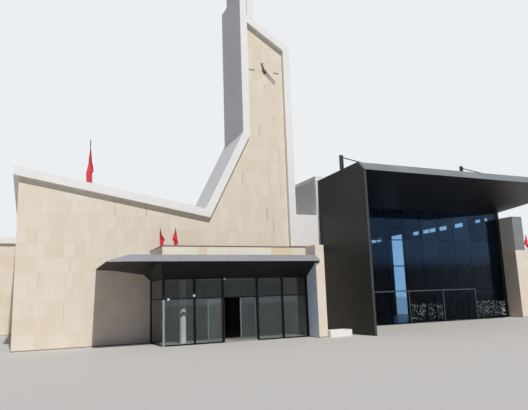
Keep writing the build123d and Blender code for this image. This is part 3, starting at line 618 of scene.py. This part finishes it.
# Each felt: name, CAD node and its faces, the way the rolls run and the way they lie side by
# side, the strips' edges, the stretch that is covered, and the seed
for name, node, accept, along, up, rows, span, seed in (
        ("left_roof_felt", "left_roof", left_roof_top, Y, X,
         [x for x in strips(roof_low.x + ROOF_RIM, 40) if x < hall_low.x],
         (roof_low.y + ROOF_RIM, wing_low.y - 0.3), 20),
        ("wing_roof_felt", "wing_roof", facing(Z, wing_roof_high.z), X, Y,
         strips(wing_low.y + WALL, 8), (wing_roof_low.x + ROOF_RIM, hall_low.x - 0.1), 21),
        ("hall_roof_felt", "hall_roof", facing(Z, hall_roof_high.z), X, Y,
         strips(hall_roof_low.y, 23), None, 22),
        ("portal_roof_felt", "portal_canopy", facing(Z, hall_roof_high.z), X, Y,
         strips(hall_low.y + WALL + 0.01, 4), None, 24),
        ("right_block_felt", "right_block_roof", facing(Z, low_roof_high.z), Y, X,
         strips(low_roof_low.x + 0.02, 3, 0.98),
         (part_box("right_white_block")[1].y + 0.02, low_roof_high.y - 0.02), 25)):
    laid = cut_faces([node], accept, along, up, rows, roll_ends(draw), FELT_JOINT, draw, span)
    slab_piece(name, felt, [laid], seed, FELT_THICK)

# --------------------
# Inside floor: honed granite tiles, 600 mm square, on the floor slab of the halls. The stone is
# half matt, with fine light and dark crystals and faint darker veins.
granite, tree, shader = new_material("granite_honed", Roughness=0.35)
tile = toned(tree, (0.0, "#9d9992"), (1.0, "#b3afa7"))
crystals = speckled(tree, tile, 120.0, 0.35)[0]
veins = spots(tree, 0.7, detail=6.0)
veined = laid_over(tree, 0.3, crystals, veins, (0.3, "#d8d3ca"), (0.7, "#ffffff"))
finish_shader(shader, veined, veins, 0.0005)
dress(granite, "ground_floor")
TILE, TILE_THICK, TILE_JOINT, TILE_LAST, TILE_LIPPAGE = 0.6, 0.005, 0.006, 0.2, 0.001


def every(step, offset=0.0, width=TILE_JOINT):
    """Cross joints at an even step."""
    def joints(row, start, end):
        count = int((end - start - offset) / step)
        places = [start + offset + n * step for n in range(1, count + 1)]
        return [(p, width) for p in places if end - p > TILE_LAST]
    return joints


draw = random.Random(53)
floor_low, floor_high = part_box("ground_floor")
tile_rows = strips(floor_low.y, int((floor_high.y - floor_low.y) / TILE) + 2, TILE)
tiles = cut_faces(["ground_floor"], facing(Z, floor_high.z), X, Y, tile_rows, every(TILE),
                  TILE_JOINT, draw)
slab_piece("floor_tiles", granite, [tiles], 23, TILE_THICK, TILE_LIPPAGE)

# --------------------
# Clock: four bars set straight on the stone and two hands on a shaft, laser-cut from steel and
# powder-coated. The upper and lower bars are painted pale as a highlight, the side ones taupe as
# painted shade, and the hands nearly black. The coat is half matt, with the fine dimples of
# sprayed powder.
dress(mottled("steel_powder_black", "#17181a", "#232426", 0.004, 0.0005, 0.15, Roughness=0.42),
      "clock_hour_hand", "clock_minute_hand")

clock_paint, tree, shader = new_material("steel_powder_painted_light", Roughness=0.45)
clock_low, clock_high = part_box("clock_face")
SIDE_BAR_HALF = 0.3
axes = add(tree, "ShaderNodeSeparateXYZ", {"Vector": own_place(tree)}).outputs
# Painted light: the side bars near the clock's middle height get taupe as painted shade, and the
# upper and lower bars pale as a painted highlight.
level = add(tree, "ShaderNodeMath", {
    0: axes["Z"], 1: (clock_low.z + clock_high.z) / 2, 2: SIDE_BAR_HALF}, operation="COMPARE")
flake = spots(tree, 0.005)
painted_bar_highlight = add(tree, "ShaderNodeValToRGB", {"Fac": flake}, ((0.3, "#e6e2da"), (0.7, "#f0ede8")))
bars_lit_and_shaded = laid_over(tree, level, painted_bar_highlight, flake, (0.3, "#9d9181"), (0.7, "#aa9e8e"), way="MIX")
finish_shader(shader, bars_lit_and_shaded, flake, 0.0005, 0.1)
dress(clock_paint, "clock_face")

# --------------------
# Entrance frame: extruded aluminium posts and rails, powder-coated nearly black, with one bare
# anodised post at the left corner, and clear glass in sealed units, slightly grey-green. Two
# sliding leaves run behind the right half, and three round opal lamps hang on the frame.

# Powder coat: a dull black that hardly mirrors, dusty in patches. The hall's frame and its door
# leaves have the same.
LEAVES = [f"hall_door_{n}_{hand}" for n in (1, 2) for hand in ("left", "right")]
frame_paint = mottled("aluminium_powder_dark", "#0a0c0d", "#101314", 0.5, 0.0005, 0.12,
                      grain=0.006, Roughness=0.42, Specular_IOR_Level=0.12)
dress(frame_paint, "entrance_lower_frame", "entrance_upper_frame", "hall_front_upper_frame",
      "hall_front_lower_posts", *[leaf + "_frame" for leaf in LEAVES])

# Anodised and brushed aluminium: satin, with upright lines from the press and the brush, drawn
# 4 mm apart so that they show.
dress(mottled("aluminium_anodised", "#8f9aa3", "#a4adb5", 0.33, 0.0005, 0.1, (90.0, 90.0, 0.6),
              4.0, Metallic=0.85, Roughness=0.42), "entrance_corner_post")
leaf_metal = mottled("aluminium_leaf_grey", "#6d757b", "#7f878d", 0.33, 0.0005, 0.1,
                     (80.0, 80.0, 0.8), 4.0, Metallic=0.7, Roughness=0.45)
dress(leaf_metal, "entrance_left_leaf_frame", "entrance_right_leaf_frame")

# Opal acrylic: milky white, smooth and a little shiny.
dress(mottled("acrylic_opal", "#c3c6c6", "#cdd0d0", 0.03, 0.0003, 0.1, Roughness=0.25),
      "entrance_lamps")


def glass_material(name, tint, lamp_tint, fill_tint, low_reflect, high_reflect, heights, dirt,
                   index=1.5):
    """Float glass: tint through the pane, a painted reflection colour that changes between two
    heights and a little from pane to pane, some dust, and a clear stand-in for the rays of the
    lamp and of the fill, which light what is inside."""
    material, tree, shader = new_material(name, IOR=index, Transmission_Weight=1.0)
    axes = add(tree, "ShaderNodeSeparateXYZ", {"Vector": own_place(tree)}).outputs
    # Painted reflection: the colour that the glass mirrors changes with height, and the pane's tone
    # dims it a little.
    height = add(tree, "ShaderNodeMapRange", {
        "Value": axes["Z"], "From Min": heights[0], "From Max": heights[1]})
    painted_reflection = add(tree, "ShaderNodeValToRGB", {"Fac": height},
                  ((0.0, low_reflect), (1.0, high_reflect)))
    tone = add(tree, "ShaderNodeAttribute", attribute_name="tone").outputs["Fac"]
    painted_pane_reflection = laid_over(tree, 1.0, painted_reflection, tone, (0.2, "#ffffff"), (0.8, "#b0b0b0"))
    smear = spots(tree, 0.7, (1.0, 1.0, 0.4), 6.0)
    body = add(tree, "ShaderNodeValToRGB", {"Fac": smear}, ((0.35, tint), (0.75, dirt)))
    dust = add(tree, "ShaderNodeMapRange", {
        "Value": smear, "From Min": 0.4, "From Max": 0.8, "To Max": 0.04})
    feed(shader, {"Base Color": body, "Roughness": dust, "Specular Tint": painted_pane_reflection})
    path = add(tree, "ShaderNodeLightPath").outputs
    lights = add(tree, "ShaderNodeMath", {0: path["Is Shadow Ray"], 1: path["Is Diffuse Ray"]},
                 operation="MAXIMUM")
    through = add(tree, "ShaderNodeMix", {
        "Factor": path["Is Diffuse Ray"], "A": linear(lamp_tint), "B": linear(fill_tint)},
        data_type="RGBA")
    clear = add(tree, "ShaderNodeBsdfTransparent", {"Color": through.outputs["Result"]})
    both = add(tree, "ShaderNodeMixShader", {0: lights, 1: shader, 2: clear})
    feed(tree.nodes["Material Output"], {"Surface": both})
    return material


# Painted reflection: the lower panes mirror pale, the panes over the transom darker grey.
dress(glass_material("float_glass_clear", "#dce2df", "#f8fcfb", "#8f9795", "#e4f6fa", "#9a9f9e",
                     (2.15, 2.3), "#cfd6d2", 1.7),
      "entrance_glass", "entrance_left_leaf_glass", "entrance_right_leaf_glass")

# --------------------
# Entrance canopy: a folded box of aluminium composite sheet, light grey-blue on its leaning
# front, its folded ends and its top, and nearly black underneath. The light grey on the faces
# that look up is partly painted highlight, the glare of the sky on the satin sheet.
dress(mottled("composite_sheet_black", "#111316", "#17191c", 1.1, 0.01, 0.1, detail=3.0,
              Roughness=0.42, Specular_IOR_Level=0.25), "entrance_canopy", "portal_canopy")


def composite(name, low, high, roughness=0.45):
    """Satin composite sheet, with a slight bow that bends what it mirrors, and fine flakes."""
    material, tree, shader = new_material(name, Roughness=roughness, Specular_IOR_Level=0.3)
    bow = spots(tree, 1.0, (0.6, 0.6, 1.4), 3.0)
    plain = add(tree, "ShaderNodeValToRGB", {"Fac": bow}, ((0.3, low), (0.7, high)))
    sparkle = laid_over(tree, 0.1, plain, spots(tree, 0.003), (0.3, "#606060"),
                        (0.7, "#a0a0a0"), way="SOFT_LIGHT")
    finish_shader(shader, sparkle, bow, 0.01, 0.2)
    return material


# Painted highlight: this light grey on the faces that look up partly stands for the sky's glare.
fascia_grey_and_painted_glare = composite("composite_sheet_grey_painted_glare", "#8f9295", "#999b9e", 0.55)
SHEET_THICK, SHEET_JOINT, SHEET_LIPPAGE = 0.004, 0.008, 0.001


def canopy_outside(normal, centre):
    """The canopy's front, its folded ends and its top, but not its soffit or its back."""
    return normal.z > 0.1 and normal.y < 0.5


draw = random.Random(5)
fascia = cut_faces(["entrance_canopy"], canopy_outside, X, Y,
                   [canopy_low.y - 1, canopy_low.y + 1.3, canopy_high.y + 1],
                   every(2.4, 1.0, SHEET_JOINT), SHEET_JOINT, draw)
slab_piece("entrance_canopy_sheets", fascia_grey_and_painted_glare, [fascia], 9, SHEET_THICK, SHEET_LIPPAGE)

# --------------------
# Hall front: dark blue solar-control glass in large panes, bonded to the outside of the
# aluminium frame with open silicone joints, so each pane mirrors a little differently. Each
# pane's reflection is also painted a little weaker in some panes, and it is painted nearly black
# low down and pale blue high up. Light metal bars frame the doors, and a white film of small
# flecks marks the glass at eye height.
# Painted reflection: nearly black up to 3.7 m, pale blue from 4.9 m up.
solar_glass = glass_material("float_glass_solar_blue", "#96c8fb", "#353c43", "#252b31",
                             "#101418", "#8fcaff", (3.7, 4.9), "#90c2f4")
dress(solar_glass, *[leaf + "_glass" for leaf in LEAVES])
glass_low, glass_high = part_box("hall_front_glass")
DOOR_HEAD = 2.27
RAILS = (DOOR_HEAD, 4.09, 6.0)
HALL_BAY, HALL_BAYS, END_POST = 1.6, 11, 0.08
PANE_JOINT, PANE_LEAST = 0.018, 0.05


def bay_joints(row, start, end):
    places = [glass_high.x + END_POST - n * HALL_BAY for n in range(1, HALL_BAYS + 1)]
    return [(p, PANE_JOINT) for p in places if start + PANE_LEAST < p < end - PANE_LEAST]


draw = random.Random(11)
panes = cut_faces(["hall_front_glass"], facing(-Y, glass_low.y), X, Z,
                  [glass_low.z - 0.01, *RAILS, glass_high.z + 0.01], bay_joints, PANE_JOINT, draw)
# Each pane leans and turns by up to 0.6 mm in a metre, as a bonded pane does
PANE_THICK, PANE_BOND, PANE_LEAN = 0.02, 0.002, 0.0006
for face in panes[1]:
    lean = draw.uniform(-PANE_LEAN, PANE_LEAN)
    turn = draw.uniform(-PANE_LEAN, PANE_LEAN)
    centre = sum((panes[0][n] for n in face), Vector()) / len(face)
    for n in face:
        away = panes[0][n] - centre
        panes[0][n].y += PANE_THICK + PANE_BOND + away.z * lean + away.x * turn
pane_layer = slab_piece("hall_front_panes", solar_glass, [panes], 1, PANE_THICK, 0.0)
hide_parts("hall_front_glass")

DOOR_SIDES = (8.01, 11.21, 14.41)
BAR_HALF, BAR_OUT = 0.025, 0.02
front_y = glass_low.y - BAR_OUT
bars_piece("hall_door_surround", leaf_metal, [
    ((x - BAR_HALF, front_y, 0.001), (x + BAR_HALF, glass_low.y, DOOR_HEAD - BAR_HALF))
    for x in DOOR_SIDES] + [
    ((glass_low.x + 0.002, front_y, DOOR_HEAD - 0.024),
     (DOOR_SIDES[-1] + BAR_HALF, glass_low.y, DOOR_HEAD + 0.03))])

# Printed film: matt white leaf shapes, each some 160 mm long, stuck on the outside of the glass.
film = mottled("film_fleck_white", "#dfe7e7", "#f4f8f8", 0.08, 0.0002, 0.1, Roughness=0.6)
FLECK_SPACING, FLECK_LENGTH, FLECK_THICK = 0.17, 0.16, 0.0025
# The flecks' least and greatest share of their length, their width next to it, the turn that
# they take at random, and the most that the tree tries to a square metre
FLECK_SMALL, FLECK_LARGE, FLECK_SLIM, FLECK_TURN, FLECK_MANY = 0.5, 1.3, 0.4, 3.1416, 400.0
FILM_FOOT, FILM_TOP = 0.22, 1.3

# The fleck tree: small leaf-shaped flecks strewn over the faces, each turned and sized at random
flecks, given = new_tree("fleck_film", Spacing="Float", Length="Float", Thickness="Float",
                         Seed="Int")
strewn = add(flecks, "GeometryNodeDistributePointsOnFaces", {
    "Mesh": given["Geometry"], "Distance Min": given["Spacing"], "Density Max": FLECK_MANY,
    "Seed": given["Seed"]}, distribute_method="POISSON")
leaf = add(flecks, "GeometryNodeMeshCylinder", {"Vertices": 6, "Radius": 0.5, "Depth": 1.0})
spin = add(flecks, "FunctionNodeRandomValue", {"Max": FLECK_TURN, "Seed": given["Seed"]})
turned = add(flecks, "ShaderNodeCombineXYZ", {"Z": spin.outputs[1]})
upright = add(flecks, "FunctionNodeEulerToRotation", {"Euler": turned})
laid = add(flecks, "FunctionNodeRotateRotation", {
    "Rotation": strewn.outputs["Rotation"], "Rotate By": upright}, rotation_space="LOCAL")
sized = add(flecks, "FunctionNodeRandomValue", {
    "Min": FLECK_SMALL, "Max": FLECK_LARGE, "Seed": given["Seed"]})
long = add(flecks, "ShaderNodeMath", {0: sized.outputs[1], 1: given["Length"]},
           operation="MULTIPLY")
wide = add(flecks, "ShaderNodeMath", {0: long, 1: FLECK_SLIM}, operation="MULTIPLY")
extent = add(flecks, "ShaderNodeCombineXYZ", {"X": long, "Y": wide, "Z": given["Thickness"]})
placed = add(flecks, "GeometryNodeInstanceOnPoints", {
    "Points": strewn, "Instance": leaf, "Rotation": laid, "Scale": extent})
end_tree(flecks, placed, given["Material"])


def film_piece(name, body, y, seed, *stretches):
    """Flecks on stretches of a glass face that looks to the front."""
    points = [(x, y, z) for left, right in stretches for x, z in (
        (left, FILM_FOOT), (right, FILM_FOOT), (right, FILM_TOP), (left, FILM_TOP))]
    faces = [range(n, n + 4) for n in range(0, len(points), 4)]
    piece = new_mesh_piece(name, points, faces)
    run_tree(piece, flecks, Spacing=FLECK_SPACING, Length=FLECK_LENGTH, Thickness=FLECK_THICK,
             Seed=seed, Material=film)
    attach(piece, body)


film_piece("hall_front_film", "building", glass_low.y, 61, (8.10, 8.72), (10.50, 11.12),
           (14.52, 15.95), (16.05, 17.40))
for n, leaf in enumerate(LEAVES[:2]):
    leaf_low, leaf_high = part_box(leaf + "_glass")
    film_piece(leaf + "_film", leaf, leaf_low.y, 62 + n, (leaf_low.x + 0.05, leaf_high.x - 0.05))

# --------------------
# Hall's high windows, wing and back windows: clear glass in the openings, each between two
# frames of dark aluminium in the middle of the wall, with upright bars about a metre apart in
# the wide ones.
dress(glass_material("float_glass_window", "#e4eae8", "#c9d2cf", "#8f9794", "#ffffff", "#ffffff",
                     (0.0, 9.0), "#e6edea"), "window_glass")


def loose_boxes(name):
    """The bounding box of each loose part of a CAD node."""
    mesh = bmesh.new()
    mesh.from_mesh(cad[name].data)
    bmesh.ops.remove_doubles(mesh, verts=mesh.verts, dist=WELD)
    parts = []
    for face in mesh.faces:
        part = set(face.verts)
        for met in [p for p in parts if p & part]:
            parts.remove(met)
            part |= met
        parts.append(part)
    boxes = sorted([[f(v.co[n] for v in part) for n in range(3)] for f in (min, max)]
                   for part in parts)
    mesh.free()
    return boxes


# The bars' width, the depth of uprights and rails, the air round a frame, the width of one
# pane, and the sizes over and under which a window has no bar in its middle
WINDOW_BAR, UPRIGHT_DEEP, RAIL_DEEP, AIR, PANE_WIDE = 0.06, 0.02, 0.018, 0.001, 1.0
TALL_WINDOW, SLIM_WINDOW = 2.6, 0.3
bars = []
for low, high in loose_boxes("window_glass"):
    along = 0 if high[0] - low[0] > high[1] - low[1] else 1
    through = 1 - along
    a, b, foot, head = low[along], high[along], low[2], high[2]
    count = round((b - a) / PANE_WIDE)
    if head - foot > TALL_WINDOW or b - a < SLIM_WINDOW:
        count = 1
    middles = [a + (b - a) * n / count for n in range(1, count)]
    uprights = [(a + AIR, a + WINDOW_BAR), (b - WINDOW_BAR, b - AIR)]
    uprights += [(p - WINDOW_BAR / 2, p + WINDOW_BAR / 2) for p in middles]
    shapes = [(*ends, foot + AIR, head - AIR, UPRIGHT_DEEP) for ends in uprights]
    shapes += [(a + WINDOW_BAR, b - WINDOW_BAR, z + AIR, z + WINDOW_BAR - AIR, RAIL_DEEP)
               for z in (foot, head - WINDOW_BAR)]
    for start, end, under, over, deep in shapes:
        for face in (low[through] - deep, high[through]):
            p, q = [0, 0, under], [0, 0, over]
            p[along], q[along] = start, end
            p[through], q[through] = face, face + deep
            bars.append((p, q))
bars_piece("window_frames", frame_paint, bars)

# --------------------
# Portal: the tall side wall and the canopy that springs from it, in charcoal composite sheet.
# The wall's front edge and the canopy's leaning front edge are of lighter grey sheet.
dress(composite("composite_sheet_charcoal", "#252829", "#2b2e2f"), "portal_side_wall")
portal_grey = composite("composite_sheet_mid_grey", "#6d7378", "#7d8388")
edge_grey = composite("composite_sheet_edge_grey", "#3d3f41", "#444648")
portal_low, portal_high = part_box("portal_canopy")


def portal_outside(normal, centre):
    """The leaning front edge and the roof of the portal canopy."""
    return normal.z > 0.3 and centre.y < stone_y - 0.25


def wall_edge(normal, centre):
    """The side wall's narrow front edge."""
    return normal.y < -0.5 and centre.y < stone_y - 1.0


draw = random.Random(23)
edge = cut_faces(["portal_canopy"], portal_outside, X, Y,
                 [portal_low.y - 0.5, portal_low.y + 0.56, portal_high.y],
                 every(3.0, 0.4, SHEET_JOINT), SHEET_JOINT, draw)
slab_piece("portal_canopy_sheets", portal_grey, [edge], 10, SHEET_THICK, SHEET_LIPPAGE)
edge = cut_faces(["portal_side_wall"], wall_edge, X, Z, [0.02, 2.5, 5.0, 7.5, 12.0], None,
                 SHEET_JOINT, draw)
slab_piece("portal_edge_sheets", edge_grey, [edge], 11, SHEET_THICK, SHEET_LIPPAGE)

# Masts with stays, flagpoles: round steel tube, painted dark grey, with faint runs of rain.
dress(mottled("steel_tube_painted", "#2c3032", "#3a3f41", 0.5, 0.0005, 0.1, (9.0, 9.0, 1.0), 4.0,
              Roughness=0.45, Metallic=0.2), "portal_masts", "flagpoles")

# --------------------
# Right block: a low stone block in the same cladding, which also turns into the portal. The
# rendered lantern over it is white, faced with mid-grey sheet at the front; that grey is partly
# the sheet's own and partly painted shade on the front.
lantern_grey_and_painted_shade = composite("composite_sheet_lantern_painted_shade_grey", "#7f8183", "#898b8d", 0.5)
lantern_low, lantern_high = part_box("right_white_block")
draw = random.Random(37)
lantern = cut_faces(["right_white_block"], facing(-Y, lantern_low.y), X, Z,
                    [lantern_low.z + 0.005, lantern_high.z + 1], None, 0.0, draw)
slab_piece("lantern_front_painted_shade_sheet", lantern_grey_and_painted_shade, [lantern], 13, SHEET_THICK, 0.0)
dress(white, "right_white_block")
block_low, block_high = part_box("right_block_walls")
draw = random.Random(31)
# The front, the right side and the back, and then the left side in front of the hall's glass
right = [stone(["right_block_walls", "right_block_roof"], facing(way, place), along, courses(6),
               draw, span=span)
         for way, place, along, span in (
             (-Y, block_low.y, X, None), (X, block_high.x, Y, None), (Y, block_high.y, X, None),
             (-X, block_low.x, Y, (block_low.y, glass_low.y - 0.02)))]
slab_piece("right_block_stone_slabs", limestone, right, 12)

# --------------------
# Flags: plain red polyester, hanging limp from short poles in deep gathered folds. The cloth is
# matt with a soft sheen, and its weave is drawn 2 mm coarse, so that it shows at all.
cloth = mottled("polyester_flag_red", "#e0142f", "#f52342", 0.25, 0.0005, 0.2, grain=0.002,
                Roughness=0.75, Sheen_Weight=0.3)
FOLD_STEPS, CLOTH_ROWS, CLOTH_THICK = 6, 30, 0.0006
# The folds' random widths and depths, the hem's wave next to the cloth's height, the folds' drift
# aside, the turns of both in radians, and the way from the pole's middle to the cloth
FOLD_SHARE, FOLD_DEEP = (0.7, 1.3), (0.75, 1.0)
HEM_WAVE, HEM_TURN, FOLD_DRIFT, DRIFT_TURN, POLE_FRONT = 0.0175, 5, 0.012, 7, 0.0225


def pleated_row(left, right, width, shares, depths):
    """One row of a cloth of a width, folded between left and right: points (x, back)."""
    def row(deep):
        points, place = [], left
        for n, share in enumerate(shares):
            a, b = (0.0, -depths[n] * deep) if n % 2 == 0 else (-depths[n - 1] * deep, 0.0)
            for k in range(FOLD_STEPS):
                part = k / FOLD_STEPS
                ease = (1 - math.cos(math.pi * part)) / 2
                points.append((place + share * (right - left) * part, a + (b - a) * ease))
            place += share * (right - left)
        points.append((right, b))
        return points

    shallow, deep = 0.0, 1.0
    for halving in range(24):
        middle = (shallow + deep) / 2
        points = row(middle)
        if sum(math.dist(p, q) for p, q in zip(points, points[1:])) < width:
            shallow = middle
        else:
            deep = middle
    return row(shallow)


def outline_at(outline, down):
    """How far a flag reaches to the left and right of its pole at a depth under its top."""
    for (a, left_a, right_a), (b, left_b, right_b) in zip(outline, outline[1:]):
        if down <= b:
            part = (down - a) / (b - a)
            part = part * part * (3 - 2 * part)
            return left_a + (left_b - left_a) * part, right_a + (right_b - right_a) * part
    return outline[-1][1:]


def flag_piece(name, pole_x, pole_y, top, outline, flat, folds, seed):
    """A flag tied at its top and hanging in folds in front of its pole."""
    draw = random.Random(seed)
    shares = [draw.uniform(*FOLD_SHARE) for n in range(folds)]
    shares = [s / sum(shares) for s in shares]
    depths = [draw.uniform(*FOLD_DEEP) for n in range(folds)]
    hem_sway, fold_sway = (draw.uniform(0, 6.3) for n in range(2))
    width, tall = flat
    points = []
    for r in range(CLOTH_ROWS + 1):
        fallen = r / CLOTH_ROWS
        down = tall * fallen
        row = pleated_row(*outline_at(outline, down), width, shares, depths)
        drift = FOLD_DRIFT * math.sin(fold_sway + DRIFT_TURN * down) * fallen
        for n, (x, back) in enumerate(row):
            wave = math.sin(hem_sway + HEM_TURN * n / (len(row) - 1)) - 1
            points.append((pole_x + x + drift, pole_y - POLE_FRONT + back,
                           top - down + HEM_WAVE * down * wave))
    count = folds * FOLD_STEPS + 1
    faces = [(r * count + n, (r + 1) * count + n, (r + 1) * count + n + 1, r * count + n + 1)
             for r in range(CLOTH_ROWS) for n in range(count - 1)]
    piece = new_mesh_piece(name, points, faces, cloth)
    step = piece.modifiers.new("thickness", "SOLIDIFY")
    step.thickness, step.offset = CLOTH_THICK, 0.0
    plain_mesh(piece)
    piece.data.shade_smooth()
    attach(piece, "building")
    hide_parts("flags")


# Each flag: its pole's place, top of the cloth, outline (depth, left, right), flat size, folds
flag_piece("flag_left_roof", -14.403, -9.2675, 10.46,
           [(0.0, -0.03, 0.03), (0.6, -0.08, 0.09), (1.2, -0.16, 0.19), (1.28, -0.19, 0.13),
            (1.9, -0.19, 0.12)], (1.2, 1.85), 14, 71)
flag_piece("flag_parapet_left", -11.10, -11.6175, 5.715,
           [(0.0, -0.035, 0.03), (0.15, -0.035, 0.06), (0.45, -0.04, 0.23), (0.56, -0.04, 0.15),
            (0.8, -0.04, 0.14)], (0.6, 0.78), 8, 72)
flag_piece("flag_parapet_right", -10.566, -12.5975, 5.635,
           [(0.0, -0.03, 0.03), (0.42, -0.165, 0.09), (0.56, -0.08, 0.13), (0.74, -0.06, 0.14)],
           (0.6, 0.72), 8, 73)
flag_piece("flag_right_block", 19.25, -8.6175, 6.295,
           [(0.0, -0.03, 0.03), (0.62, -0.32, 0.14), (0.72, -0.10, 0.18), (0.9, 0.0, 0.24)],
           (0.6, 0.88), 8, 74)
